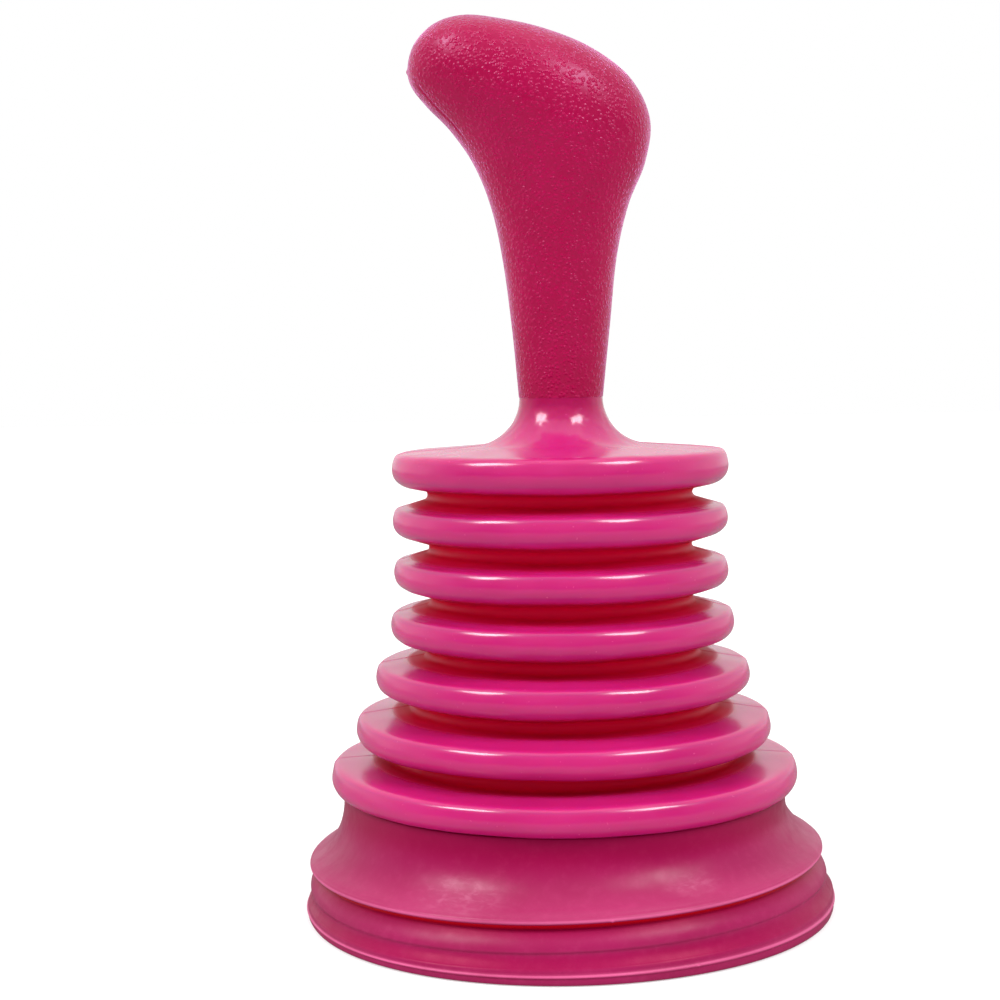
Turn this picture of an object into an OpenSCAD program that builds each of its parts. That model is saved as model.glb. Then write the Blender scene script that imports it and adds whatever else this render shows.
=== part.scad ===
// Sink plunger: a hollow moulded handle, a seven-ring bellows and a soft suction cup.
// Millimetres, +Z up. The origin is on the axis, on the plane that the cup's foot stands on.
// The grip leans towards -X, and the mould's parting plane is Y = 0.

/* [Bellows] */
// Outer diameter of the three upper rings
bellows_d = 84.2; // [80:0.1:90]
// Height between the centres of neighbouring rings
ring_pitch = 13.1; // [12.6:0.1:14]
// Height between the centres of the two lowest rings
last_pitch = 11.6; // [11.4:0.1:13]
// Height of the lowest ring's centre above the foot plane
base_ring_z = 33.8; // [33.4:0.1:36]
// Radius of each ring's rounded rim
rim_r = 3.7; // [3.5:0.1:4]
// Radius of the top ring's rim, which carries the shoulder
top_rim_r = 4.3; // [4.1:0.1:4.6]
// Radius of the rounded bottom of the valleys between the rings
root_r = 1.4; // [1.2:0.1:1.6]
// Depth of a valley, from the ring above it to its bottom
valley_depth = 9; // [8.4:0.1:9.6]
// Wall of the bellows
bellows_wall = 1.4; // [1:0.1:1.6]

/* [Handle] */
// Height at which the smooth neck ends and the grained grip begins
grip_base_z = 128.4; // [127:0.1:130]
// Diameter of the neck there, its narrowest place
neck_d = 20.8; // [20:0.1:24]
// Radius of the neck's flare into the shoulder
flare_r = 12; // [10:0.5:12.5]
// Slope of the shoulder's top, in degrees
shoulder_slope = 4.6; // [3:0.1:6]
// Wall of the grip and the shoulder
handle_wall = 1.8; // [1.4:0.1:2.4]

/* [Suction cup] */
// Diameter of the foot's flange
foot_d = 133.4; // [130:0.5:136]
// Diameter of the lip
lip_d = 129.8; // [128:0.1:130]
// Height of the lip's widest line
lip_z = 13.4; // [13:0.1:14]
// Outer diameter of the collar
collar_d = 111.6; // [111:0.1:112]
// Wall of the cup
cup_wall = 2.4; // [2:0.1:2.6]
// Height at which the collar's straight wall ends and the flare begins
collar_z = 27.4; // [27:0.1:28]

/* [Hidden] */

// How much further out than the upper rings each ring reaches, from the top ring down
WIDENING = [0.2, 0, 0, 1.2, 5.1, 10.3, 16.7];
// Edges of the grip in its plane, as [x, z]: the underside up to the nose, then back over the top
GRIP_INNER = [[-11.3, 146], [-13.4, 163], [-16.1, 176], [-20.2, 186.5], [-25.8, 194.8],
    [-31.6, 200.9], [-35.4, 206], [-36.2, 210.8], [-34.4, 216.4]];
GRIP_NOSE = [-29.2, 221.2];
GRIP_OUTER = [[-21.5, 223], [-12.5, 221.8], [-1.5, 219.1], [9.8, 214.2], [19, 206.8],
    [23.6, 197], [22.3, 186.5], [18, 176], [14.9, 163], [12.8, 146]];
// Half the grip's depth, as a share of its half width, from the neck to the nose
GRIP_DEPTH = [1, 1, 0.97, 0.9, 0.8, 0.74, 0.72, 0.74, 0.82, 0.95, 1];

GRIP_SIDES = 28;
GRIP_STEPS = 3;
ARC_STEPS = 12;
CONTACT_GAP = 0.04;
PLASTIC = "#D93B84";
RUBBER = "#BC3E74";
$fn = 96;

BEAD_STEPS = 6;
SKIRT_STEPS = 8;

// Spigot, its bead and the collar's groove
spigot_z = 22;
bead_z = 28.5;
bead_r = 0.7;
// Radius of the flare's hollow, and how far round it the collar and the flare reach
hollow_r = 13.3;
collar_turn = 8;
flare_turn = 62;
seam_lead = 10;
// Lip and skirt
lip_round = 1.7;
lip_edge_z = 12.2;
skirt_top_r = 63;
skirt_top_wall = 1.2;
skirt_foot_z = 4.4;
skirt_bulge = 1.4;
// Foot flange
foot_step = 0.9;
foot_taper = 0.3;
ridge_z = 2;
ridge_r = 0.5;
flange_width = 4.6;
flange_height = 1.6;

ring_count = len(WIDENING);
neck_r = neck_d / 2;
foot_r = foot_d / 2;
lip_r = lip_d / 2;
collar_r = collar_d / 2;
cup_bore_r = collar_r - cup_wall;
spigot_r = cup_bore_r - CONTACT_GAP;
skirt_foot_r = foot_r - foot_step;
hollow = [collar_r + hollow_r, collar_z];
lip_centre = [lip_r - lip_round, lip_z];
lip_inner_r = skirt_top_r - skirt_top_wall;
flare_end = lip_centre + lip_round * [cos(flare_turn), sin(flare_turn)];
seam_end = [lip_inner_r, lip_z];

// Height of ring i's centre, with ring 0 at the top
function ring_z(i) =
    i == ring_count - 1 ? base_ring_z
                        : base_ring_z + last_pitch + ring_pitch * (ring_count - 2 - i);
// Rim radius and outer radius of ring i, and the centre of its rim as [r, z]
function rim(i) = i == 0 ? top_rim_r : rim_r;
function ring_r(i) = bellows_d / 2 + WIDENING[i];
function rim_centre(i) = [ring_r(i) - rim(i), ring_z(i)];
// Centre of the rounded valley bottom between rings k and k + 1
function root_centre(k) =
    [ring_r(k) - valley_depth + root_r, (ring_z(k) + ring_z(k + 1)) / 2];

// Points of an arc round centre c, from angle a to angle b
function arc(c, r, a, b, steps = ARC_STEPS) =
    [for (i = [0:steps]) c + r * [cos(a + (b - a) * i / steps), sin(a + (b - a) * i / steps)]];
// Direction of the normal of the web that crosses from rim circle p to root circle q
function web_angle(p, rp, q, side) =
    atan2(side * (q[1] - p[1]), q[0] - p[0]) - acos((rp + root_r) / norm(q - p));
function upper_angle(i) = web_angle(rim_centre(i), rim(i), root_centre(i - 1), 1);
function lower_angle(i) = web_angle(rim_centre(i), rim(i), root_centre(i), -1);

module turned(points) {
    rotate_extrude() polygon(points);
}

// Rounded rim of ring i
module ring(i) {
    low = i == ring_count - 1 ? 90 : lower_angle(i);
    high = i == 0 ? 90 - shoulder_slope : upper_angle(i);
    color(PLASTIC) turned(concat(
        arc(rim_centre(i), rim(i), -low, high),
        arc(rim_centre(i), rim(i) - bellows_wall, high, -low)));
}

// The two webs and the rounded valley bottom between rings k and k + 1
module fold(k) {
    above = rim_centre(k);
    below = rim_centre(k + 1);
    root = root_centre(k);
    up = lower_angle(k);
    down = upper_angle(k + 1);
    gap = [0, CONTACT_GAP];
    outer = concat([above + rim(k) * [cos(up), -sin(up)] - gap],
        arc(root, root_r, 180 - up, 180 + down),
        [below + rim(k + 1) * [cos(down), sin(down)]]);
    inner = concat([below + (rim(k + 1) - bellows_wall) * [cos(down), sin(down)]],
        arc(root, root_r + bellows_wall, 180 + down, 180 - up),
        [above + (rim(k) - bellows_wall) * [cos(up), -sin(up)] - gap]);
    color(PLASTIC) turned(concat(outer, inner));
}

// Smooth neck, its flare and the sloping top that closes the top ring
module shoulder() {
    edge = rim_centre(0) + top_rim_r * [cos(90 - shoulder_slope), sin(90 - shoulder_slope)];
    flare = [neck_r + flare_r, grip_base_z];
    drop = flare_r * [cos(270 - shoulder_slope), sin(270 - shoulder_slope)];
    under = handle_wall * [cos(270 - shoulder_slope), sin(270 - shoulder_slope)];
    rim_under = bellows_wall * [cos(270 - shoulder_slope), sin(270 - shoulder_slope)];
    color(PLASTIC) turned(concat(
        arc(flare, flare_r, 180, 270 - shoulder_slope),
        [edge, edge + rim_under, edge + under + [-handle_wall, 0]],
        arc(flare, flare_r + handle_wall, 270 - shoulder_slope, 180)));
}

// A smooth curve through a list of points, at station t
function spline(p, t) =
    let (last = len(p) - 1,
         i = min(floor(t), last - 1),
         f = t - i,
         a = p[i],
         b = p[i + 1],
         before = i == 0 ? 2 * a - b : p[i - 1],
         after = i == last - 1 ? 2 * b - a : p[i + 2])
    a + f * ((b - before) / 2
        + f * ((2 * before - 5 * a + 4 * b - after) / 2
        + f * (3 * a - before - 3 * b + after) / 2));

grip_edge = concat([[-neck_r, grip_base_z]], GRIP_INNER, [GRIP_NOSE], GRIP_OUTER,
    [[neck_r, grip_base_z]]);
grip_stations = len(GRIP_INNER) + 1;

// One oval section of the grip at station t, a wall's thickness inside the surface
function grip_section(t, wall) =
    let (inner = spline(grip_edge, t),
         outer = spline(grip_edge, len(grip_edge) - 1 - t),
         middle = (inner + outer) / 2,
         half = norm(outer - inner) / 2,
         along = (outer - inner) / (2 * half),
         depth = half * spline(GRIP_DEPTH, t),
         a = half - wall,
         b = depth - wall)
    [for (s = [0:GRIP_SIDES - 1])
        let (turn = 360 * s / GRIP_SIDES, reach = a * cos(turn))
        [middle[0] + along[0] * reach, b * sin(turn), middle[1] + along[1] * reach]];

// Hollow grip: an outer skin and an inner skin, joined by a flat ring at the neck
module grip() {
    steps = grip_stations * GRIP_STEPS;
    outer_steps = steps - 1;
    inner_steps = steps - GRIP_STEPS;
    n = GRIP_SIDES;
    nose_in = grip_section(inner_steps / GRIP_STEPS, handle_wall);
    points = concat(
        [for (i = [0:outer_steps]) each grip_section(i / GRIP_STEPS, 0)],
        [for (i = [0:inner_steps]) each grip_section(i / GRIP_STEPS, handle_wall)],
        [[GRIP_NOSE[0], 0, GRIP_NOSE[1]]],
        [[for (axis = [0:2]) (nose_in[0][axis] + nose_in[n / 2][axis]) / 2]]);
    inside = (outer_steps + 1) * n;
    nose = inside + (inner_steps + 1) * n;
    side = function(first, i, s) first + i * n + (s % n);
    faces = concat(
        [for (i = [0:outer_steps - 1], s = [0:n - 1])
            [side(0, i, s), side(0, i + 1, s), side(0, i + 1, s + 1)]],
        [for (i = [0:outer_steps - 1], s = [0:n - 1])
            [side(0, i, s), side(0, i + 1, s + 1), side(0, i, s + 1)]],
        [for (i = [0:inner_steps - 1], s = [0:n - 1])
            [side(inside, i, s), side(inside, i + 1, s + 1), side(inside, i + 1, s)]],
        [for (i = [0:inner_steps - 1], s = [0:n - 1])
            [side(inside, i, s), side(inside, i, s + 1), side(inside, i + 1, s + 1)]],
        [for (s = [0:n - 1]) [side(0, outer_steps, s), nose, side(0, outer_steps, s + 1)]],
        [for (s = [0:n - 1])
            [side(inside, inner_steps, s), side(inside, inner_steps, s + 1), nose + 1]],
        [for (s = [0:n - 1]) [side(0, 0, s), side(0, 0, s + 1), side(inside, 0, s + 1)]],
        [for (s = [0:n - 1]) [side(0, 0, s), side(inside, 0, s + 1), side(inside, 0, s)]]);
    color(PLASTIC) polyhedron(points, faces);
}

// Short tube below the lowest ring, with a bead that holds the cup on
module spigot() {
    flange_z = ring_z(ring_count - 1) - rim_r;
    flange_r = rim_centre(ring_count - 1)[0];
    bore_r = spigot_r - bellows_wall;
    color(PLASTIC) turned(concat(
        [[bore_r, spigot_z], [spigot_r, spigot_z]],
        arc([spigot_r, bead_z], bead_r, -90, 90, BEAD_STEPS),
        [[spigot_r, flange_z], [flange_r, flange_z], [flange_r, flange_z + bellows_wall],
            [bore_r, flange_z + bellows_wall]]));
}

// Rubber collar, pulled over the spigot, with a groove for its bead
module cup_collar() {
    top_z = ring_z(ring_count - 1) - rim_r - CONTACT_GAP;
    end = 180 + collar_turn;
    color(RUBBER) turned(concat(
        arc(hollow, hollow_r + cup_wall, end, 180, BEAD_STEPS),
        arc([cup_bore_r, bead_z], bead_r, -90, 90, BEAD_STEPS),
        [[cup_bore_r, top_z], [collar_r, top_z]],
        arc(hollow, hollow_r, 180, end, BEAD_STEPS)));
}

// Concave wall from the collar out to the lip
module cup_flare() {
    start = 180 + collar_turn;
    end = 180 + flare_turn;
    gap = [0, CONTACT_GAP];
    color(RUBBER) turned(concat(
        arc(hollow - gap, hollow_r, start, end),
        [flare_end, seam_end],
        arc(hollow - gap, hollow_r + cup_wall, end - seam_lead, start)));
}

// Rounded lip with a sharp lower edge
module cup_lip() {
    low = -asin((lip_z - lip_edge_z) / lip_round);
    color(RUBBER) turned(concat(
        arc(lip_centre, lip_round, low, flare_turn),
        [seam_end, [lip_inner_r, lip_edge_z]]));
}

// Lower wall below the lip, bulging a little and thicker towards the foot
module cup_skirt() {
    top = [skirt_top_r, lip_edge_z - CONTACT_GAP];
    foot = [skirt_foot_r, skirt_foot_z];
    middle = (top + foot) / 2 + [skirt_bulge, 0];
    outer = [for (i = [0:SKIRT_STEPS]) let (t = i / SKIRT_STEPS)
        (1 - t) * (1 - t) * top + 2 * t * (1 - t) * middle + t * t * foot];
    inner = [for (i = [SKIRT_STEPS:-1:0]) let (t = i / SKIRT_STEPS)
        outer[i] - [skirt_top_wall + t * (cup_wall - skirt_top_wall), 0]];
    color(RUBBER) turned(concat(outer, inner));
}

// Foot flange that seals round the drain, with a raised line round it
module foot_ring() {
    top_z = skirt_foot_z - CONTACT_GAP;
    inner_r = foot_r - flange_width;
    color(RUBBER) turned(concat(
        [[skirt_foot_r - cup_wall, top_z], [skirt_foot_r, top_z]],
        arc([foot_r - ridge_r, ridge_z], ridge_r, 80, 0, BEAD_STEPS),
        [[foot_r - foot_taper, 0], [inner_r, 0], [inner_r, flange_height]]));
}

grip();
shoulder();
ring(0);  // ring_1
ring(1);  // ring_2
ring(2);  // ring_3
ring(3);  // ring_4
ring(4);  // ring_5
ring(5);  // ring_6
ring(6);  // ring_7
fold(0);  // fold_1
fold(1);  // fold_2
fold(2);  // fold_3
fold(3);  // fold_4
fold(4);  // fold_5
fold(5);  // fold_6
spigot();
cup_collar();
cup_flare();
cup_lip();
cup_skirt();
foot_ring();
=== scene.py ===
import math
import bpy
import numpy as np
from mathutils import Matrix, Vector


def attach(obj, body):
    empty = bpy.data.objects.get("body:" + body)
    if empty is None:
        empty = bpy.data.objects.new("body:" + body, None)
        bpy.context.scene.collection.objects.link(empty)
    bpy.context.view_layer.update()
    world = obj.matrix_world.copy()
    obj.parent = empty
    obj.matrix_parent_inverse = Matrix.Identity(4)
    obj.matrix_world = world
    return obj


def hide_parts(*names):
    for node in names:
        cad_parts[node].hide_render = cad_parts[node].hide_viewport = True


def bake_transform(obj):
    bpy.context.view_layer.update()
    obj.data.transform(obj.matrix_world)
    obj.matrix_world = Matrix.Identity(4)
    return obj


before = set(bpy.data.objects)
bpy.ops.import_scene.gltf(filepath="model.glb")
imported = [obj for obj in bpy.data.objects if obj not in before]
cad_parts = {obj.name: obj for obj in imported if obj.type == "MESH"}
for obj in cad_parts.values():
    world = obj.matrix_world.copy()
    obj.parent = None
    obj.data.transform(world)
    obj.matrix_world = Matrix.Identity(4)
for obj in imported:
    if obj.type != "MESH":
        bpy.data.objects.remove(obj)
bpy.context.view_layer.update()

# Lengths are in millimetres until a mesh is made. The sizes are those of part.scad.
MM = 0.001
TAU = 2 * math.pi

# Bellows: each ring's outer radius, centre height and rim radius, from the top
RING_R = [42.3, 42.1, 42.1, 43.3, 47.2, 52.4, 58.8]
RING_Z = [110.9, 97.8, 84.7, 71.6, 58.5, 45.4, 33.8]
RIM_R = [4.3, 3.7, 3.7, 3.7, 3.7, 3.7, 3.7]
# How much fuller each rim is than a circle, on its upper side
FULLNESS = [0.11, 0.11, 0.11, 0.11, 0.11, 0.11, 0.12]
# The rounded root of a valley, and how far it lies in from the ring above
ROOT_R = 1.4
VALLEY_DEPTH = 9.0
BELLOWS_WALL = 1.4
# A ring's rim is cut from the folds this far above and below its centre
CUT = 2.5
# The sloping top of ring 1, in degrees
SLOPE = 4.6
# Neck: radius, offset from the axis, height of the joint with the grip, radius of its flare
NECK_R = 10.45
NECK_X = 0.6
NECK_Z = 128.4
FLARE_R = 12.0
HANDLE_WALL = 1.8
SPIGOT_R = 53.36
SPIGOT_Z = 22.0
BEAD_Z = 28.5
BEAD_R = 0.7
# The mould's parting line: its height over the wall and its half width
PARTING_HEIGHT = 0.10
PARTING_WIDTH = 0.22
# Columns of mesh round the bellows and round the cup
COLUMNS_ROUND = 288

# Cup
COLLAR_R = 55.8
CUP_WALL = 2.4
COLLAR_TOP = 30.06

# Points closer together than this are one point
SAME_POINT = 1e-4
# Smallest length that is divided by
TINY = 1e-9


def smooth(a, b, x):
    """0 up to a, 1 from b on, and a soft step between."""
    t = np.clip((np.asarray(x, float) - a) / (b - a), 0, 1)
    return t * t * (3 - 2 * t)


def bell(x, width):
    """1 at 0, falling to both sides."""
    return np.exp(-((np.asarray(x, float) / width) ** 2))


def arc(cx, cz, r, a, b, steps, scale=None):
    """Points of an arc from angle a to b in degrees, as (radius, height)."""
    out = []
    for i in range(steps + 1):
        d = a + (b - a) * i / steps
        k = 1 if scale is None else scale(d)
        out.append((cx + r * k * math.cos(math.radians(d)), cz + r * k * math.sin(math.radians(d))))
    return out


def line(p, q, steps):
    """Points after p, up to and with q."""
    return [(p[0] + (q[0] - p[0]) * i / steps, p[1] + (q[1] - p[1]) * i / steps)
            for i in range(1, steps + 1)]


class Profile:
    """An open outline in (radius, height), with named marks on it."""

    def __init__(self):
        self.points = []
        self.marks = {}

    def add(self, points, mark=None):
        for p in points:
            if not self.points or math.dist(p, self.points[-1]) > SAME_POINT:
                self.points.append(p)
        if mark:
            self.marks[mark] = len(self.points) - 1

    def array(self):
        return np.array(self.points, float)


def side_normals(p):
    """Unit normals of an outline, to the right of its direction of travel."""
    t = np.gradient(p, axis=0)
    n = np.stack([-t[:, 1], t[:, 0]], 1)
    return n / np.linalg.norm(n, axis=1, keepdims=True)


def columns(count, extra):
    """Angles round the axis, with extra ones about the mould's parting plane."""
    a = [TAU * i / count for i in range(count)]
    for centre in (0, math.pi):
        for e in extra:
            a += [centre + math.radians(e), centre - math.radians(e)]
    return np.unique(np.round(np.mod(a, TAU), 7))


def grid(p, theta, move):
    """Turns an outline round the axis; move(r, z, theta, nr, nz) gives x, y and z."""
    n = side_normals(p)
    r = p[:, :1] + 0 * theta[None]
    z = p[:, 1:] + 0 * theta[None]
    t = theta[None] + 0 * r
    return move(r, z, t, n[:, :1] + 0 * r, n[:, 1:] + 0 * r)


def grid_normals(g, flip=False):
    """Vertex normals of a grid that is closed round the axis."""
    along = np.empty_like(g)
    along[0], along[-1] = g[1] - g[0], g[-1] - g[-2]
    # both steps beside a row are made one unit long, so that neither outweighs the other
    step = g[1:] - g[:-1]
    step /= np.maximum(np.linalg.norm(step, axis=2, keepdims=True), TINY)
    along[1:-1] = step[1:] + step[:-1]
    across = np.roll(g, -1, 1) - np.roll(g, 1, 1)
    n = np.cross(along, across)
    n /= np.maximum(np.linalg.norm(n, axis=2, keepdims=True), TINY)
    return -n if flip else n


def new_object(name, verts, faces, normals=None, mask=None):
    """A mesh object. It keeps its resting place in millimetres, for the textures."""
    me = bpy.data.meshes.new(name)
    me.from_pydata((np.asarray(verts) * MM).tolist(), [], faces)
    me.polygons.foreach_set("use_smooth", [True] * len(me.polygons))
    at = me.attributes.new("rest_mm", "FLOAT_VECTOR", "POINT")
    at.data.foreach_set("vector", np.asarray(verts, np.float32).ravel())
    # the mask is painted light: shade in the valleys and folds, highlights on the cup's edges
    if mask is not None:
        at = me.attributes.new("painted_light", "FLOAT", "POINT")
        at.data.foreach_set("value", np.asarray(mask, np.float32).ravel())
    me.update()
    if normals is not None:
        me.normals_split_custom_set_from_vertices(np.asarray(normals, float).tolist())
    ob = bpy.data.objects.new(name, me)
    bpy.context.scene.collection.objects.link(ob)
    return ob


def shell(name, outer, outer_n, inner, inner_n, painted_light):
    """A closed ring of wall from an outer strip of rows and an inner strip of rows.

    The last argument holds, for each row, outer and inner, the value of an attribute that masks painted
    light.
    """
    verts = np.concatenate([outer, inner[::-1]])
    norms = np.concatenate([outer_n, inner_n[::-1]])
    m, n = verts.shape[:2]
    faces = []
    for i in range(m):
        j = (i + 1) % m
        for c in range(n):
            d = (c + 1) % n
            faces.append((i * n + c, j * n + c, j * n + d, i * n + d))
    mask = np.repeat(np.concatenate([painted_light[0], painted_light[1][::-1]]), n)
    return new_object(name, verts.reshape(-1, 3), faces, norms.reshape(-1, 3), mask)


# ---------------------------------------------------------------- materials

# Colours are linear red, green and blue. A pair is the range that slow mottling runs over.
WHITE = (1.0, 1.0, 1.0)
PLASTIC_TONES = (0.425, 0.007, 0.124), (0.470, 0.010, 0.140)
FLECK_TONE = (0.80, 0.12, 0.36)
NECK_TONE = (0.33, 0.002, 0.060)
# Painted shade in the bellows' valleys, deep red at their roots as light bounced in and through the red
# plastic
VALLEY_SIDE_SHADE = (0.40, 0.0, 0.030)
VALLEY_ROOT_SHADE = (0.70, 0.0, 0.040)
NECK_GLOSS = (1.0, 0.55, 0.72)
# Red tint of the gloss in the valleys' painted shade
VALLEY_SHADE_GLOSS = (1.0, 0.10, 0.16)
GRAIN_TONES = (0.325, 0.000, 0.046), (0.365, 0.000, 0.058)
# Painted shade between the grip's pebbles
GRAIN_GAP_SHADE = (0.24, 0.000, 0.028)
GRAIN_GLOSS = (0.9, 0.62, 1.0)
GRAIN_SHEEN = (1.0, 0.38, 0.90)
RUBBER_TONES = (0.262, 0.006, 0.062), (0.288, 0.007, 0.073)
MOTTLE_TONE = (0.55, 0.06, 0.19)
# Pale dry scuffs, partly a painted highlight
SCUFF_AND_HIGHLIGHT_TONE = (0.78, 0.30, 0.46)
# Painted shade in the cup's folds, and a saturated red painted shade under its lip
FOLD_SHADE_TONE = (0.22, 0.0, 0.030)
UNDER_LIP_SHADE_TONE = (0.50, 0.0, 0.010)
# A painted highlight on the cup's edges and its lower flare
PAINTED_HIGHLIGHT_TONE = (0.80, 0.16, 0.36)
# Red tint of the gloss in the cup's painted shade
FOLD_SHADE_GLOSS = (1.0, 0.15, 0.25)

# Heights over the floor between which the neck's tone and its ripple come in
NECK_TONE_FROM, NECK_TONE_TO = 119.5, 128.0
RIPPLE_FROM, RIPPLE_TO = 117.5, 121.0

# The rubber's two pale spots, dry scuffs that are partly a painted highlight: place and radius. Heights
# count three times here, which makes the spots wide and low.
HEIGHT_COUNTS = 3
SCUFF_AND_HIGHLIGHT_SPOTS = [((-26.0, -55.5, 51.0), 17.0), ((27.5, -53.0, 55.5), 10.0)]


def nodes_of(name):
    """A material with one principled shader, its nodes, and the resting place to texture by."""
    mat = bpy.data.materials.new(name)
    mat.use_nodes = True
    nt = mat.node_tree
    nt.nodes.clear()
    out = nt.nodes.new("ShaderNodeOutputMaterial")
    bsdf = nt.nodes.new("ShaderNodeBsdfPrincipled")
    nt.links.new(bsdf.outputs[0], out.inputs[0])
    pos = nt.nodes.new("ShaderNodeAttribute")
    pos.attribute_name = "rest_mm"
    return mat, nt, bsdf, pos.outputs["Vector"]


def noise(nt, vector, scale, detail, rough, distortion=0.0):
    """Noise with a given number of cycles in a millimetre."""
    n = nt.nodes.new("ShaderNodeTexNoise")
    n.inputs["Scale"].default_value = scale
    n.inputs["Detail"].default_value = detail
    n.inputs["Roughness"].default_value = rough
    n.inputs["Distortion"].default_value = distortion
    nt.links.new(vector, n.inputs["Vector"])
    return n.outputs["Fac"]


def ramp(nt, value, low, high, out_low=0.0, out_high=1.0):
    """A smooth step from out_low to out_high while the value goes from low to high."""
    n = nt.nodes.new("ShaderNodeMapRange")
    n.interpolation_type = "SMOOTHSTEP"
    for key, v in zip(("From Min", "From Max", "To Min", "To Max"), (low, high, out_low, out_high)):
        n.inputs[key].default_value = v
    nt.links.new(value, n.inputs["Value"])
    return n.outputs[0]


def calc(nt, kind, a, b):
    """One sum. Each side is a number or a socket."""
    n = nt.nodes.new("ShaderNodeMath")
    n.operation = kind
    for i, v in enumerate((a, b)):
        if isinstance(v, (int, float)):
            n.inputs[i].default_value = v
        else:
            nt.links.new(v, n.inputs[i])
    return n.outputs[0]


def blend_colour(nt, factor, a, b):
    """From colour a to colour b. Each is three numbers or a socket."""
    n = nt.nodes.new("ShaderNodeMix")
    n.data_type = "RGBA"
    nt.links.new(factor, n.inputs[0])
    for i, v in ((6, a), (7, b)):
        if isinstance(v, tuple):
            n.inputs[i].default_value = (*v, 1)
        else:
            nt.links.new(v, n.inputs[i])
    return n.outputs[2]


def bump(nt, height, distance_mm, strength, normal=None):
    n = nt.nodes.new("ShaderNodeBump")
    n.inputs["Strength"].default_value = strength
    n.inputs["Distance"].default_value = distance_mm * MM
    nt.links.new(height, n.inputs["Height"])
    if normal is not None:
        nt.links.new(normal, n.inputs["Normal"])
    return n.outputs["Normal"]


def spot(nt, vector, centre, radius):
    """1 at a place on the surface, falling to 0 at a radius from it, in millimetres."""
    d = nt.nodes.new("ShaderNodeVectorMath")
    d.operation = "DISTANCE"
    nt.links.new(vector, d.inputs[0])
    d.inputs[1].default_value = centre
    return ramp(nt, d.outputs["Value"], 0, radius, 1, 0)


def attribute(nt, name):
    n = nt.nodes.new("ShaderNodeAttribute")
    n.attribute_name = name
    return n.outputs["Fac"]


def make_plastic():
    """Smooth, glossy blow-moulded plastic. It is duller down in the valleys, and painted there with
    shade, darker and redder towards their roots.
    """
    mat, nt, bsdf, pos = nodes_of("glossy_plastic")
    depth = attribute(nt, "painted_light")
    painted_light = ramp(nt, depth, 0.26, 0.60)
    split = nt.nodes.new("ShaderNodeSeparateXYZ")
    nt.links.new(pos, split.inputs[0])
    neck = ramp(nt, split.outputs[2], NECK_TONE_FROM, NECK_TONE_TO)
    tone = noise(nt, pos, 0.035, 3, 0.55)
    colour = blend_colour(nt, ramp(nt, tone, 0.3, 0.7), *PLASTIC_TONES)
    fleck = ramp(nt, noise(nt, pos, 1.3, 1, 0.4), 0.74, 0.80)
    colour = blend_colour(nt, calc(nt, "MULTIPLY", fleck, 0.25), colour, FLECK_TONE)
    colour = blend_colour(nt, calc(nt, "MULTIPLY", neck, 0.8), colour, NECK_TONE)
    # painted shade: darker and redder in the valleys where the rings above shade them, and a deep red
    # painted at their roots
    colour = blend_colour(nt, painted_light, colour, VALLEY_SIDE_SHADE)
    colour = blend_colour(nt, ramp(nt, depth, 0.55, 1.0), colour, VALLEY_ROOT_SHADE)
    nt.links.new(colour, bsdf.inputs["Base Color"])
    # the gloss is tinted red in the painted shade too, which darkens its reflections there
    gloss = blend_colour(nt, calc(nt, "MULTIPLY", neck, 0.9), WHITE, NECK_GLOSS)
    nt.links.new(blend_colour(nt, painted_light, gloss, VALLEY_SHADE_GLOSS), bsdf.inputs["Specular Tint"])
    rough = ramp(nt, noise(nt, pos, 0.11, 4, 0.6), 0.25, 0.8, 0.17, 0.24)
    rough = calc(nt, "MAXIMUM", rough, calc(nt, "MULTIPLY", painted_light, 0.5))
    nt.links.new(rough, bsdf.inputs["Roughness"])
    bsdf.inputs["IOR"].default_value = 1.5
    bsdf.inputs["Specular IOR Level"].default_value = 0.68
    bsdf.inputs["Subsurface Weight"].default_value = 0.35
    bsdf.inputs["Subsurface Radius"].default_value = (1.0, 0.15, 0.25)
    bsdf.inputs["Subsurface Scale"].default_value = 3.5 * MM
    broad = bump(nt, noise(nt, pos, 0.06, 2, 0.4), 0.25, 0.5)
    on_neck = ramp(nt, split.outputs[2], RIPPLE_FROM, RIPPLE_TO)
    ripple = calc(nt, "MULTIPLY", noise(nt, pos, 0.38, 1, 0.4), on_neck)
    broad = bump(nt, ripple, 0.16, 1.0, broad)
    fine = bump(nt, noise(nt, pos, 1.4, 3, 0.6), 0.006, 0.6, broad)
    nt.links.new(fine, bsdf.inputs["Normal"])
    return mat


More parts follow.
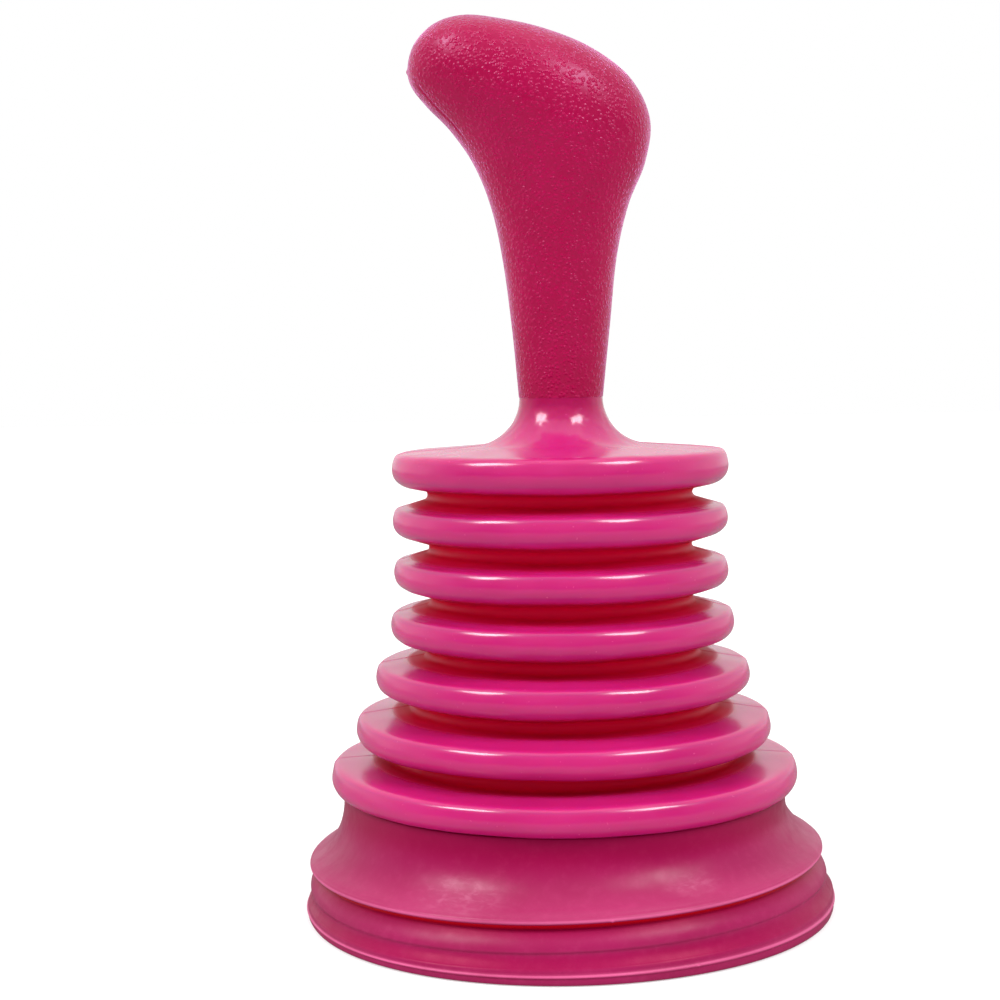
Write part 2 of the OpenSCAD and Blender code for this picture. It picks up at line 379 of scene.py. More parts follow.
def make_grain():
    """The grip's plastic, with a fine pebbled grain and painted shade in the gaps between its pebbles.
    """
    mat, nt, bsdf, pos = nodes_of("grained_plastic")
    tone = noise(nt, pos, 0.05, 3, 0.55)
    colour = blend_colour(nt, ramp(nt, tone, 0.3, 0.7), *GRAIN_TONES)
    # the pebbles' places are shifted a little, so that they aren't even
    bent = nt.nodes.new("ShaderNodeTexNoise")
    bent.inputs["Scale"].default_value = 1.1
    bent.inputs["Detail"].default_value = 1.0
    nt.links.new(pos, bent.inputs["Vector"])
    shift = nt.nodes.new("ShaderNodeVectorMath")
    shift.operation = "SCALE"
    shift.inputs["Scale"].default_value = 0.7
    nt.links.new(bent.outputs["Color"], shift.inputs[0])
    where = nt.nodes.new("ShaderNodeVectorMath")
    where.operation = "ADD"
    nt.links.new(pos, where.inputs[0])
    nt.links.new(shift.outputs[0], where.inputs[1])
    cells = nt.nodes.new("ShaderNodeTexVoronoi")
    cells.feature = "F1"
    cells.inputs["Scale"].default_value = 1.05
    nt.links.new(where.outputs[0], cells.inputs["Vector"])
    pebble = ramp(nt, cells.outputs["Distance"], 0.08, 0.60, 1, 0)
    # painted shade in the gaps between the pebbles
    gap_shade = ramp(nt, cells.outputs["Distance"], 0.35, 0.7)
    colour = blend_colour(nt, calc(nt, "MULTIPLY", gap_shade, 0.40), colour, GRAIN_GAP_SHADE)
    nt.links.new(colour, bsdf.inputs["Base Color"])
    rough = ramp(nt, noise(nt, pos, 0.3, 3, 0.6), 0.3, 0.7, 0.24, 0.33)
    nt.links.new(rough, bsdf.inputs["Roughness"])
    bsdf.inputs["IOR"].default_value = 1.5
    bsdf.inputs["Specular IOR Level"].default_value = 0.30
    bsdf.inputs["Specular Tint"].default_value = (*GRAIN_GLOSS, 1)
    bsdf.inputs["Sheen Weight"].default_value = 0.80
    bsdf.inputs["Sheen Roughness"].default_value = 0.28
    bsdf.inputs["Sheen Tint"].default_value = (*GRAIN_SHEEN, 1)
    big = bump(nt, pebble, 0.15, 1.0)
    fine = bump(nt, noise(nt, pos, 3.2, 2, 0.5), 0.015, 0.6, big)
    nt.links.new(fine, bsdf.inputs["Normal"])
    return mat


def make_rubber():
    """The cup's soft rubber, with dry scuffs on the front of the flare that are partly a painted
    highlight, and painted shade and highlights along its profile.
    """
    mat, nt, bsdf, pos = nodes_of("soft_rubber")
    tone = noise(nt, pos, 0.03, 4, 0.6)
    colour = blend_colour(nt, ramp(nt, tone, 0.3, 0.7), *RUBBER_TONES)
    mottle = ramp(nt, noise(nt, pos, 0.45, 4, 0.65), 0.45, 0.75)
    colour = blend_colour(nt, calc(nt, "MULTIPLY", mottle, 0.08), colour, MOTTLE_TONE)
    flat = nt.nodes.new("ShaderNodeVectorMath")
    flat.operation = "MULTIPLY"
    flat.inputs[1].default_value = (1, 1, HEIGHT_COUNTS)
    nt.links.new(pos, flat.inputs[0])
    # pale dry scuffs with streaks, partly a painted highlight
    streak = ramp(nt, noise(nt, flat.outputs[0], 0.32, 4, 0.6, 0.4), 0.42, 0.75)
    left, right = (spot(nt, flat.outputs[0], centre, radius) for centre, radius in SCUFF_AND_HIGHLIGHT_SPOTS)
    scuff_and_highlight = calc(nt, "MULTIPLY", calc(nt, "ADD", streak, 0.55), calc(nt, "MAXIMUM", left, right))
    colour = blend_colour(nt, calc(nt, "MULTIPLY", scuff_and_highlight, 0.15), colour, SCUFF_AND_HIGHLIGHT_TONE)
    # the row attribute: above 0, painted shade under ring 7, under the lip and at the waist; below 0,
    # painted highlights on the lip's edge, the foot's ridge and the lower flare
    painted_light = attribute(nt, "painted_light")
    # painted shade in the folds, with a saturated red painted under the lip
    colour = blend_colour(nt, ramp(nt, painted_light, 0.0, 0.7), colour, FOLD_SHADE_TONE)
    colour = blend_colour(nt, ramp(nt, painted_light, 0.7, 1.0), colour, UNDER_LIP_SHADE_TONE)
    # painted highlights, lighter where the tone is lighter
    painted_highlight = calc(nt, "MULTIPLY", ramp(nt, painted_light, -1.0, 0.0, 0.5, 0.0), ramp(nt, tone, 0.25, 0.6, 0.6, 1.0))
    colour = blend_colour(nt, painted_highlight, colour, PAINTED_HIGHLIGHT_TONE)
    nt.links.new(colour, bsdf.inputs["Base Color"])
    # the gloss is tinted red in the painted shade, which darkens its reflections there
    gloss = blend_colour(nt, ramp(nt, painted_light, 0.0, 0.4), WHITE, FOLD_SHADE_GLOSS)
    nt.links.new(gloss, bsdf.inputs["Specular Tint"])
    rough = ramp(nt, noise(nt, pos, 0.2, 3, 0.6), 0.3, 0.75, 0.30, 0.42)
    nt.links.new(rough, bsdf.inputs["Roughness"])
    bsdf.inputs["IOR"].default_value = 1.5
    bsdf.inputs["Specular IOR Level"].default_value = 0.18
    broad = bump(nt, noise(nt, pos, 0.12, 2, 0.5), 0.3, 0.4)
    fine = bump(nt, noise(nt, pos, 2.2, 3, 0.6), 0.02, 0.6, broad)
    nt.links.new(fine, bsdf.inputs["Normal"])
    return mat


PLASTIC = make_plastic()
GRAIN = make_grain()
RUBBER = make_rubber()


def dress(ob, material):
    """Gives a piece its material."""
    ob.data.materials.append(material)
    return ob


# ---------------------------------------------------------------- bellows

RINGS = len(RING_R)
LAST = RINGS - 1


def rim_centre(i):
    """Where ring i's rim is centred, counted from 0 at the top."""
    return RING_R[i] - RIM_R[i], RING_Z[i]


def root_centre(i):
    """Where the root of the valley below ring i is centred."""
    return RING_R[i] - VALLEY_DEPTH + ROOT_R, (RING_Z[i] + RING_Z[i + 1]) / 2


def web_angle(p, rp, q, side):
    """At what angle a rim round p leaves for the straight web to the root round q."""
    d = math.atan2(side * (q[1] - p[1]), q[0] - p[0])
    return math.degrees(d - math.acos((rp + ROOT_R) / math.dist(p, q)))


def upper_angle(i):
    """Where ring i's rim ends on its upper side."""
    return web_angle(rim_centre(i), RIM_R[i], root_centre(i - 1), 1) % 360


def lower_angle(i):
    """Where ring i's rim ends on its lower side."""
    return web_angle(rim_centre(i), RIM_R[i], root_centre(i), -1) % 360


def bellows_profile():
    """From the neck down over every ring and valley to the spigot's end."""
    p = Profile()
    p.add([(NECK_R - 0.5, NECK_Z + 0.8), (NECK_R - 0.5, NECK_Z + 0.1), (NECK_R - 0.45, NECK_Z),
           (NECK_R - 0.05, NECK_Z), (NECK_R, NECK_Z - 0.04)])
    p.add(arc(NECK_R + FLARE_R, NECK_Z, FLARE_R, 180, 270 - SLOPE, 30))
    high = 90 - SLOPE
    for i in range(RINGS):
        c, rim = rim_centre(i), RIM_R[i]
        full = FULLNESS[i]
        scale = lambda d, full=full: 1 + full * float(bell(d - 48, 20))
        if i:
            high = upper_angle(i)
        low = 90 if i == LAST else lower_angle(i)
        cut = math.degrees(math.asin(CUT / rim))
        start = arc(*c, rim, high, high, 1, scale)[0]
        if i == 0:
            p.add(line(p.points[-1], start, 14), "shoulder_end")
            p.add(arc(*c, rim, high, cut, 12, scale))
        else:
            p.add(line(p.points[-1], start, 9))
            p.add(arc(*c, rim, high, cut, 12, scale), f"ring_{i + 1}_start")
        p.add(arc(*c, rim, cut, -cut, 22, scale), f"ring_{i + 1}_end" if i < LAST else None)
        p.add(arc(*c, rim, -cut, -low, 12, scale))
        if i < LAST:
            q = root_centre(i)
            down = upper_angle(i + 1)
            root = arc(*q, ROOT_R, 180 - low, 180 + down, 12)
            p.add(line(p.points[-1], root[0], 9))
            p.add(root)
    z = RING_Z[LAST] - RIM_R[LAST]
    p.marks["ring_7_end"] = len(p.points) - 1
    p.add(line(p.points[-1], (SPIGOT_R + 0.3, z), 3))
    p.add([(SPIGOT_R + 0.1, z - 0.1), (SPIGOT_R, z - 0.3)])
    p.add(arc(SPIGOT_R, BEAD_Z, BEAD_R, 90, -90, 8))
    p.add(line(p.points[-1], (SPIGOT_R, SPIGOT_Z + 0.2), 6))
    return p


def inside_of(p, wall):
    """The outline's inner side, one wall in."""
    q = p.array()
    return q - side_normals(q) * wall[:, None]


def wobble(theta, z):
    """The small unevenness of a blow-moulded wall."""
    return (0.07 * np.sin(3 * theta + 0.11 * z + 0.4) + 0.05 * np.sin(5 * theta - 0.17 * z + 1.9)
            + 0.03 * np.sin(11 * theta + 0.31 * z + 4.0) + 0.02 * np.sin(23 * theta - 0.9 * z))


def move_bellows(outside):
    """Shifts points to the real wall. Only the outer side has the parting line."""
    def move(r, z, t, nr, nz):
        y = r * np.sin(t)
        d = wobble(t, z)
        if outside:
            d = d + PARTING_HEIGHT * bell(y, PARTING_WIDTH)
        d = d * (1 - smooth(119, 127, z))
        rr, zz = r + d * nr, z + d * nz
        x = rr * np.cos(t) + NECK_X * smooth(112, 123, z)
        return np.stack([x, rr * np.sin(t), zz], 2)
    return move


body_theta = columns(COLUMNS_ROUND, (0.12, 0.25, 0.42, 0.7))
body_outline = bellows_profile()
outer_line = body_outline.array()
marks = body_outline.marks
# The handle's thicker wall runs out over the last rows of the shoulder
RUN_OUT = 5
shoulder_rows = marks["shoulder_end"] + 1
wall = np.full(len(outer_line), BELLOWS_WALL)
wall[:shoulder_rows] = HANDLE_WALL
wall[shoulder_rows - RUN_OUT: shoulder_rows] = np.linspace(HANDLE_WALL, BELLOWS_WALL, RUN_OUT)
inner_line = inside_of(body_outline, wall)
outer_grid = grid(outer_line, body_theta, move_bellows(True))
inner_grid = grid(inner_line, body_theta, move_bellows(False))
outer_norm = grid_normals(outer_grid)
inner_norm = grid_normals(inner_grid, True)

# How deep each row lies in from the ring above it, as a share of a valley's depth. It masks the painted
# shade in the valleys.
above = np.array(RING_R)[np.clip(np.searchsorted(-np.array(RING_Z), -outer_line[:, 1]) - 1, 0, LAST - 1)]
row_depth = np.clip((above - outer_line[:, 0]) / VALLEY_DEPTH, 0, 1)
in_bellows = (outer_line[:, 1] < RING_Z[0]) & (outer_line[:, 1] > RING_Z[LAST])
row_depth = np.where(in_bellows, row_depth, 0)


def body_piece(name, first, last):
    """The stretch of the plastic body from one row to another."""
    s = slice(first, last + 1)
    ob = shell(name, outer_grid[s], outer_norm[s], inner_grid[s], inner_norm[s],
               (row_depth[s], 0 * row_depth[s]))
    return dress(ob, PLASTIC)


RING_BODY = ["handle", "bellows_ring_2", "bellows_ring_3", "bellows_ring_4", "bellows_ring_5",
             "bellows_ring_6", "bellows_base"]
shoulder = body_piece("neck_and_shoulder", 0, marks["shoulder_end"])
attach(shoulder, "handle")
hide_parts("shoulder")
starts = [marks["shoulder_end"]] + [marks[f"ring_{i}_start"] for i in range(2, RINGS + 1)]
ends = [marks[f"ring_{i}_end"] for i in range(1, RINGS + 1)]
for i in range(RINGS):
    ring = body_piece(f"bellows_ring_{i + 1}", starts[i], ends[i])
    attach(ring, RING_BODY[i])
    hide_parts(f"ring_{i + 1}")
    if i < LAST:
        fold = body_piece(f"bellows_fold_{i + 1}", ends[i], starts[i + 1])
        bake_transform(fold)
        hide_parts(f"fold_{i + 1}")
spigot = body_piece("cup_spigot", ends[LAST], len(outer_line) - 1)
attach(spigot, "bellows_base")
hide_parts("spigot")

# ---------------------------------------------------------------- grip

# The grip's outline in (x, height): up its left side, over the crest and down its right side
GRIP_EDGE = [(-9.85, 128.4), (-11.35, 146), (-13.4, 163), (-16.1, 176), (-20.2, 186.5), (-25.8, 194.8),
             (-31.6, 200.9), (-35.4, 206), (-36.2, 210.8), (-34.4, 216.4), (-29.2, 221.2),
             (-21.5, 223), (-12.5, 221.8), (-1.5, 219.1), (9.8, 214.2), (19, 206.8),
             (23.6, 197), (22.3, 186.5), (18, 176), (14.9, 163), (13.0, 146), (11.05, 128.4)]
# Its depth, front to back, as a share of its width, from the neck to the crest
GRIP_DEPTH = [1, 1, 0.97, 0.9, 0.8, 0.74, 0.72, 0.74, 0.82, 0.95, 1, 1]
GRIP_ROWS = 168
GRIP_COLUMNS = 96
# The hollow ends this many rows below the crest
SOLID_ROWS = 14
# Places along the grip, counted in points of GRIP_EDGE: where the crease comes in, where it
# runs out, and where a small raised point is
CREASE_IN, CREASE_OUT = (4.4, 5.2), (6.3, 7.4)
POINT_AT = 7.75


def spline(points, t):
    """A smooth curve through the points, at place t, where whole numbers are the points."""
    p = np.asarray(points, float)
    if p.ndim == 1:
        p = p[:, None]
    last = len(p) - 1
    i = min(int(t), last - 1)
    f = t - i
    a, b = p[i], p[i + 1]
    before = 2 * a - b if i == 0 else p[i - 1]
    after = 2 * b - a if i == last - 1 else p[i + 2]
    return a + f * ((b - before) / 2 + f * ((2 * before - 5 * a + 4 * b - after) / 2
                    + f * (3 * a - before - 3 * b + after) / 2))


def grip_rows(wall):
    """Cross-sections of the grip as (rows, columns, 3), from the neck up, and the crest's tip."""
    end = (len(GRIP_EDGE) - 1) / 2
    turns = [TAU * i / GRIP_COLUMNS for i in range(GRIP_COLUMNS)]
    # more columns by the parting line and by the crease
    for e in (0.5, 1.0, 1.5, 2.0, 2.6, 3.3, 4.2, 5.4, 7.0, 9.0):
        for c in (0, math.pi):
            turns += [c + math.radians(e), c - math.radians(e)]
    for i in range(30):
        turns += [math.pi + math.radians(16 + 0.75 * i), math.pi - math.radians(16 + 0.75 * i)]
    turns = np.unique(np.round(np.mod(turns, TAU), 6))
    rows = []
    for i in range(GRIP_ROWS):
        t = end * i / GRIP_ROWS
        a, b = spline(GRIP_EDGE, t), spline(GRIP_EDGE, 2 * end - t)
        mid, half = (a + b) / 2, np.linalg.norm(b - a) / 2
        along = (b - a) / (2 * half)
        depth = half * spline(GRIP_DEPTH, t)[0]
        half, depth = max(half - wall, 0.05), max(depth - wall, 0.05)
        y = depth * np.sin(turns)
        reach = half * np.cos(turns)
        if wall == 0:
            # a crease along the underside of the palm rest, where the mould pinched the wall off
            share = smooth(*CREASE_IN, t) * (1 - smooth(*CREASE_OUT, t))
            under = np.cos(turns) < 0
            crease = bell(half + reach - 1.45, 0.22) * share
            crease = np.where(under, crease, 0)
            reach += 0.28 * crease
            y -= 0.16 * crease * np.sign(y)
            # the fine parting line down both sides, and a small raised point on the palm rest's edge
            reach += np.sign(np.cos(turns)) * PARTING_HEIGHT * bell(y, 0.2)
            reach -= np.where(under, 0.35 * bell(t - POINT_AT, 0.12) * bell(y, 1.2), 0)
        rows.append(np.stack([mid[0] + along[0] * reach, y, mid[1] + along[1] * reach], 1))
    top = spline(GRIP_EDGE, end)
    return np.array(rows), np.array([top[0], 0, top[1]])


def make_grip():
    """The palm grip, hollow and open at the neck."""
    outer, top = grip_rows(0)
    inner = grip_rows(HANDLE_WALL)[0][:-SOLID_ROWS]
    inner_top = inner[-1].mean(0)
    n = outer.shape[1]
    # rows close to the edge at the neck keep it crisp
    edge = outer[:2].copy()
    edge[0, :, :2] = 0.99 * outer[0, :, :2] + 0.01 * outer[0, :, :2].mean(0)
    edge[1] = outer[0] + 0.06 * (outer[1] - outer[0])
    rows = np.concatenate([inner[::-1], edge[:1], outer[:1], edge[1:], outer[1:]])
    last = len(rows) - 1
    verts = np.concatenate([rows.reshape(-1, 3), [inner_top], [top]])
    faces = []
    for i in range(last):
        for c in range(n):
            d = (c + 1) % n
            faces.append((i * n + c, i * n + d, (i + 1) * n + d, (i + 1) * n + c))
    for c in range(n):
        d = (c + 1) % n
        faces.append((len(verts) - 2, d, c))
        faces.append((len(verts) - 1, last * n + c, last * n + d))
    return new_object("palm_grip", verts, faces)


grip = dress(make_grip(), GRAIN)
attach(grip, "handle")
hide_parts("grip")

# ---------------------------------------------------------------- cup

# The flare's outer side is a hollow curve: its radius and its centre
HOLLOW_R = 13.3
HOLLOW_Z = 27.4
HOLLOW = (COLLAR_R + HOLLOW_R, HOLLOW_Z)
# Where the skirt starts under the lip, and how far it swells out over what height
SKIRT_TOP = (62.85, 12.2)
SKIRT_SWELL, SKIRT_HEIGHT = 2.25, 4.5
# The skirt's waist, and how far it opens below it over what height
WAIST = (64.79, 6.72)
WAIST_OPENS, WAIST_HEIGHT = 0.96, 2.52
# The foot's underside
FOOT_Z = 0.02


def cup_outer():
    """From the collar's top down over the flare, lip and skirt to the foot's underside."""
    p = Profile()
    p.add([(COLLAR_R - 0.35, COLLAR_TOP), (COLLAR_R - 0.1, COLLAR_TOP - 0.1),
           (COLLAR_R, COLLAR_TOP - 0.35)])
    p.add(line(p.points[-1], (COLLAR_R, HOLLOW_Z), 4))
    p.add(arc(*HOLLOW, HOLLOW_R, 180, 188, 4), "collar")
    p.add(arc(*HOLLOW, HOLLOW_R, 188, 242, 26))
    p.add(line(p.points[-1], (63.85, 15.0), 3), "flare")
    # the lip's round edge and its underside
    p.add([(64.12, 14.62)])
    p.add(arc(63.95, 13.78, 0.85, 62, -28, 10))
    p.add([(64.62, 13.2), (64.45, 13.08), (64.2, 12.98)])
    p.add(line((64.2, 12.98), (62.95, 12.62), 4), "lip")
    # the skirt swells out, steps in at its waist and opens again down to the foot
    r, z = SKIRT_TOP
    p.add([(62.87, 12.5), SKIRT_TOP])
    for i in range(1, 13):
        t = i / 12
        p.add([(r + SKIRT_SWELL * math.sin(t * math.pi / 2), z - SKIRT_HEIGHT * t)])
    p.add([(65.11, 7.52), (65.08, 7.36), (65.01, 7.2), (64.92, 7.05), (64.84, 6.9), WAIST])
    r, z = WAIST
    for i in range(1, 9):
        t = i / 8
        p.add([(r + WAIST_OPENS * t * t, z - WAIST_HEIGHT * t)])
    p.add([(65.82, 4.1)], "skirt")
    # the foot's round bead between two fine steps
    p.add([(65.95, 3.98), (66.18, 3.72), (66.3, 3.2), (66.3, 2.62)])
    p.add(arc(66.22, 2.12, 0.44, 66, -66, 12))
    p.add([(66.38, 1.62), (66.42, 1.2), (66.36, 0.6), (66.18, 0.18), (65.9, FOOT_Z)])
    p.add(line(p.points[-1], (62.5, FOOT_Z), 4), "foot")
    return p


def cup_inner():
    """The inner side, from the collar's bore down to the foot."""
    p = Profile()
    bore = COLLAR_R - CUP_WALL
    p.add([(bore + 0.3, COLLAR_TOP), (bore + 0.05, COLLAR_TOP - 0.2)])
    p.add(arc(bore, BEAD_Z, BEAD_R, 90, -90, 8))
    p.add(arc(*HOLLOW, HOLLOW_R + CUP_WALL, 180, 188, 4), "collar")
    p.add(arc(*HOLLOW, HOLLOW_R + CUP_WALL, 188, 232, 20))
    p.add(line(p.points[-1], (61.6, 13.7), 3), "flare")
    p.add(line(p.points[-1], (61.75, 12.4), 3), "lip")
    p.add(line(p.points[-1], (62.9, 4.2), 10), "skirt")
    p.add([(62.95, 3.9), (62.6, 2.2), (62.2, 1.7), (62.0, 1.3), (62.0, 0.5), (62.12, 0.12),
           (62.5, FOOT_Z)], "foot")
    return p


# The lean lifts each place by this share of its x, which lowers the left side
CUP_LEAN = 0.024
# The foot's bulge at the front left: how far out, at what angle, how wide
BULGE, BULGE_AT, BULGE_WIDTH = 2.2, math.radians(-128), math.radians(38)
# The foot sits this far to the right
FOOT_X = 1.3
# Two small moulding nicks: angle, height and size, and how far from the axis they are
NICKS = [(math.radians(-66.4), 2.1, 0.28), (math.radians(-82.2), 13.2, 0.35)]
NICK_R = 65
NICK_WIDTH = 0.35


def move_cup(r, z, t, nr, nz):
    """Shifts points to the real, uneven and slightly leaning cup."""
    d = 0.08 * np.sin(2 * t + 0.7) + 0.05 * np.sin(3 * t + 0.2 * z) + 0.04 * np.sin(7 * t - 0.3 * z)
    rr = r + d
    zz = z + 0.1 * np.sin(2 * t + 2.1) * smooth(0.5, 6, z) * (1 - smooth(20, 26, z))
    low = 1 - smooth(3.5, 12.0, z)
    off_bulge = np.angle(np.exp(1j * (t - BULGE_AT)))
    rr = rr + low * BULGE * bell(off_bulge, BULGE_WIDTH)
    for angle, height, size in NICKS:
        away = np.angle(np.exp(1j * (t - angle))) * NICK_R
        rr = rr + size * bell(away, NICK_WIDTH) * bell(z - height, NICK_WIDTH)
    x = rr * np.cos(t)
    # the soft cup leans a little to one side, over a foot that stays flat on the floor
    zz = zz + CUP_LEAN * x * np.clip(z / 6.5, 0, 1) * (1 - smooth(19, 27, z))
    return np.stack([x + FOOT_X * low, rr * np.sin(t), zz], 2)


by_nicks = [angle + math.radians(e) for angle, _, _ in NICKS
            for e in (-0.6, -0.3, -0.15, 0, 0.15, 0.3, 0.6)]
cup_theta = np.concatenate([columns(COLUMNS_ROUND, (0.5,)), by_nicks])
cup_theta = np.unique(np.round(np.mod(cup_theta, TAU), 6))
cup_out, cup_in = cup_outer(), cup_inner()
cup_out_grid = grid(cup_out.array(), cup_theta, move_cup)
cup_in_grid = grid(cup_in.array(), cup_theta, move_cup)
cup_out_norm, cup_in_norm = grid_normals(cup_out_grid), grid_normals(cup_in_grid, True)


def cup_painted_light(p):
    """Painted light on the outer side: shade above 0 under ring 7, under the lip and at the waist,
    highlights below 0 on the lip's edge, the foot's ridge and the lower flare.
    """
    r, z = p[:, 0], p[:, 1]
    # painted shade under ring 7, under the lip and at the skirt's waist, where these are shaded
    top = 0.40 * smooth(19, 27, z)
    under_lip_shade = 0.3 * smooth(8.8, 11.2, z) + 0.7 * smooth(11.0, 12.3, z)
    under_lip_shade = under_lip_shade * (1 - smooth(13.0, 13.25, z))
    waist = 0.30 * smooth(3.2, 4.0, z) * (1 - smooth(5.4, 7.8, z))
    # painted highlights along the lip's edge and the foot's ridge, and a painted sheen over the lower
    # flare
    lip_highlight = bell(z - 13.75, 0.42) * (r > 64.2)
    ridge_highlight = bell(z - 2.3, 0.30) * (r > 66.2)
    flare_sheen = 0.30 * (1 - smooth(14.5, 21, z)) * (z > 13.2)
    return np.maximum(np.maximum(top, under_lip_shade), waist) - np.maximum(np.maximum(lip_highlight, ridge_highlight), flare_sheen)


def cup_piece(name, first, last):
    """The stretch of the cup between two marks. None is the collar's top."""
    def rows(p, g, n):
        s = slice(p.marks[first] if first else 0, p.marks[last] + 1)
        return g[s], n[s], p.array()[s]
    outer, outer_n, outline = rows(cup_out, cup_out_grid, cup_out_norm)
    inner, inner_n, _ = rows(cup_in, cup_in_grid, cup_in_norm)
    ob = shell(name, outer, outer_n, inner, inner_n, (cup_painted_light(outline), np.zeros(len(inner))))
    return dress(ob, RUBBER)


collar = cup_piece("rubber_collar", None, "collar")
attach(collar, "bellows_base")
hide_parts("cup_collar")
flare = cup_piece("rubber_flare", "collar", "flare")
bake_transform(flare)
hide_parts("cup_flare")
lip = cup_piece("rubber_lip", "flare", "lip")
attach(lip, "cup_rim")
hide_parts("cup_lip")
skirt = cup_piece("rubber_skirt", "lip", "skirt")
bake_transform(skirt)
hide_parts("cup_skirt")
foot = cup_piece("rubber_foot", "skirt", "foot")
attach(foot, "cup_foot")
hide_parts("foot_ring")

# ---------------------------------------------------------------- stage, light and camera

# Strengths of light, without a unit. What the camera sees, what diffuse rays meet and what is
# mirrored are set apart, so that the object is lit evenly and still has dark reflections.
# FLOOR_WHITE and FLOOR_MIRRORED are the floor's own colour, seen directly and in a reflection.
FLOOR_GLOW = 0.48
FLOOR_FILL = 0.42
FLOOR_WHITE, FLOOR_MIRRORED = (0.50, 0.50, 0.50), (0.24, 0.24, 0.24)
# The room in front of the object at floor height and high up, what is added there for diffuse
# rays, and the room behind the object
ROOM_FRONT = (0.06, 0.42)
ROOM_FILL = 0.38
ROOM_BACK = 0.92
# The front turns into the back between these two values of a direction's y
ROOM_FRONT_EDGE, ROOM_BACK_EDGE = -0.55, 0.45

# The floor is a square this far out to each side, just below the foot, in metres
FLOOR_HALF = 4.0
FLOOR_HEIGHT = -0.0002

# The camera: its place in metres, and its angle down, turn to the right and roll in degrees
CAMERA_AT = (-0.01116, -0.4648, 0.137)
CAMERA_TURN = (4.22, -0.49, -0.95)


def make_floor():
    """A white floor for the soft shadow."""
    me = bpy.data.meshes.new("floor")
    corners = [(-1, -1), (1, -1), (1, 1), (-1, 1)]
    verts = [(x * FLOOR_HALF, y * FLOOR_HALF, FLOOR_HEIGHT) for x, y in corners]
    me.from_pydata(verts, [], [(0, 1, 2, 3)])
    ob = bpy.data.objects.new("floor", me)
    bpy.context.scene.collection.objects.link(ob)
    mat, nt, bsdf, _ = nodes_of("white_floor")
    bsdf.inputs["Roughness"].default_value = 0.9
    bsdf.inputs["Specular IOR Level"].default_value = 0.1
    # lit from below like a photographer's white table, so that only a soft shadow is left on it
    glow = nt.nodes.new("ShaderNodeEmission")
    both = nt.nodes.new("ShaderNodeAddShader")
    path = nt.nodes.new("ShaderNodeLightPath")
    white = blend_colour(nt, path.outputs["Is Glossy Ray"], FLOOR_WHITE, FLOOR_MIRRORED)
    nt.links.new(white, bsdf.inputs["Base Color"])
    fill = calc(nt, "MULTIPLY", path.outputs["Is Diffuse Ray"], FLOOR_FILL)
    own = calc(nt, "MULTIPLY", path.outputs["Is Camera Ray"], FLOOR_GLOW)
    nt.links.new(calc(nt, "ADD", fill, own), glow.inputs[1])
    nt.links.new(bsdf.outputs[0], both.inputs[0])
    nt.links.new(glow.outputs[0], both.inputs[1])
    nt.links.new(both.outputs[0], nt.nodes["Material Output"].inputs[0])
    mat.cycles.emission_sampling = "NONE"
    ob.data.materials.append(mat)


def softbox(name, toward, width_deg, strength):
    """A round softbox in a direction, far away, so that it lights the whole floor evenly."""
    data = bpy.data.lights.new(name, "SUN")
    data.energy = strength
    data.angle = math.radians(width_deg)
    ob = bpy.data.objects.new(name, data)
    ob.rotation_euler = Vector(toward).to_track_quat("Z", "Y").to_euler()
    bpy.context.scene.collection.objects.link(ob)


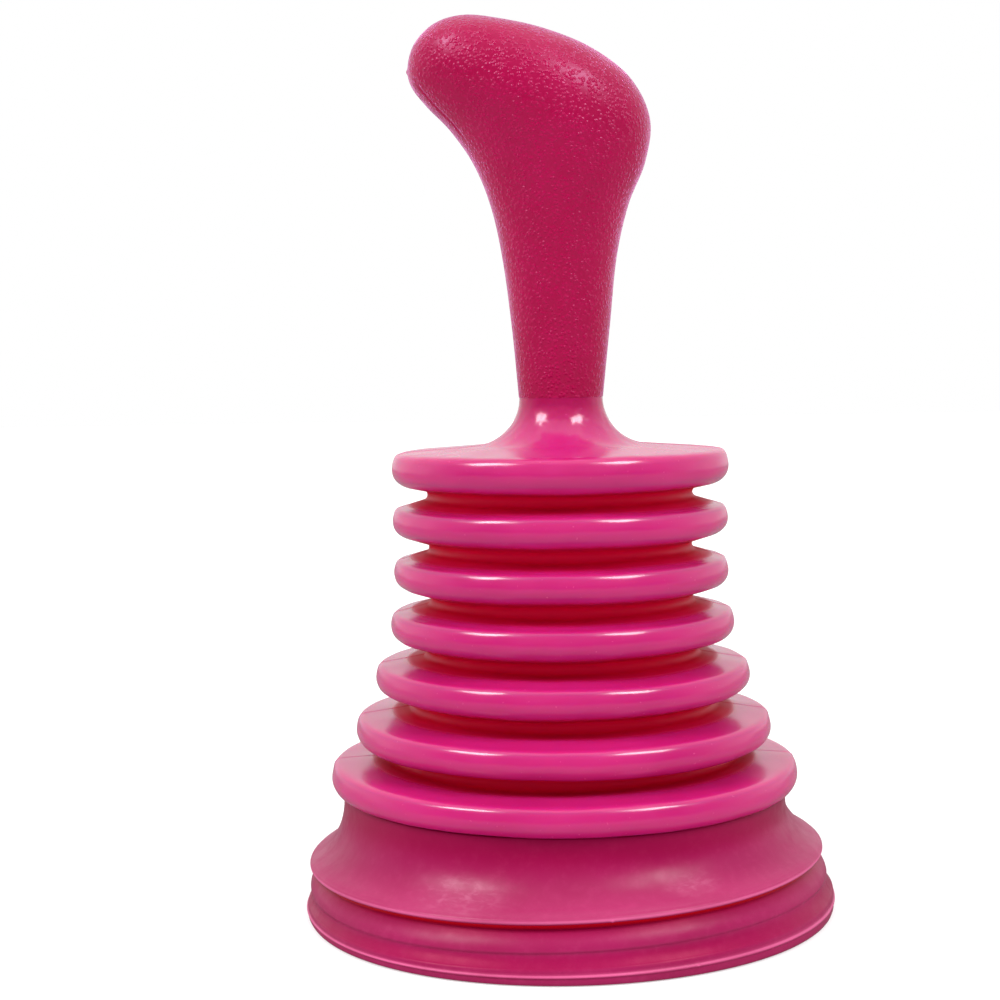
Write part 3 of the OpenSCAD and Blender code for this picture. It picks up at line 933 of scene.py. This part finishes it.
def make_world():
    """A white room, darker in front. The backdrop that the camera sees is plain white."""
    world = bpy.data.worlds.new("white_room")
    bpy.context.scene.world = world
    world.use_nodes = True
    nt = world.node_tree
    nt.nodes.clear()
    out = nt.nodes.new("ShaderNodeOutputWorld")
    seen, room = nt.nodes.new("ShaderNodeBackground"), nt.nodes.new("ShaderNodeBackground")
    seen.inputs[0].default_value = room.inputs[0].default_value = (1, 1, 1, 1)
    seen.inputs[1].default_value = 1.0
    where = nt.nodes.new("ShaderNodeTexCoord")
    split = nt.nodes.new("ShaderNodeSeparateXYZ")
    nt.links.new(where.outputs["Generated"], split.inputs[0])
    path = nt.nodes.new("ShaderNodeLightPath")
    fill = calc(nt, "MULTIPLY", path.outputs["Is Diffuse Ray"], ROOM_FILL)
    front = calc(nt, "ADD", fill, ramp(nt, split.outputs[2], 0.0, 0.6, *ROOM_FRONT))
    back = ramp(nt, split.outputs[1], ROOM_FRONT_EDGE, ROOM_BACK_EDGE)
    in_front = calc(nt, "MULTIPLY", calc(nt, "SUBTRACT", 1, back), front)
    strength = calc(nt, "ADD", calc(nt, "MULTIPLY", back, ROOM_BACK), in_front)
    nt.links.new(strength, room.inputs[1])
    mix = nt.nodes.new("ShaderNodeMixShader")
    nt.links.new(path.outputs["Is Camera Ray"], mix.inputs[0])
    nt.links.new(room.outputs[0], mix.inputs[1])
    nt.links.new(seen.outputs[0], mix.inputs[2])
    nt.links.new(mix.outputs[0], out.inputs[0])


def make_camera():
    """The photograph's view, from just above mid-height, looking a little down."""
    data = bpy.data.cameras.new("camera")
    cam = bpy.data.objects.new("camera", data)
    bpy.context.scene.collection.objects.link(cam)
    data.sensor_width = 36.0
    data.lens = 66.4992
    data.clip_start, data.clip_end = 0.01, 20
    pitch, yaw, roll = (math.radians(v) for v in CAMERA_TURN)
    ahead = np.array([math.sin(yaw) * math.cos(pitch), math.cos(yaw) * math.cos(pitch),
                      -math.sin(pitch)])
    right = np.array([math.cos(yaw), -math.sin(yaw), 0.0])
    up = np.cross(right, ahead)
    turn = np.eye(4)
    turn[:3, 0] = math.cos(roll) * right + math.sin(roll) * up
    turn[:3, 1] = -math.sin(roll) * right + math.cos(roll) * up
    turn[:3, 2] = -ahead
    turn[:3, 3] = CAMERA_AT
    cam.matrix_world = Matrix(turn.tolist())
    bpy.context.scene.camera = cam


make_floor()
softbox("softbox_left", (-0.63, -0.34, 0.70), 24, 2.0)
softbox("softbox_right", (0.55, -0.45, 0.71), 24, 1.95)
softbox("softbox_overhead", (0.0, -0.15, 0.99), 60, 0.5)
make_world()
bpy.context.scene.view_settings.view_transform = "Standard"
make_camera()
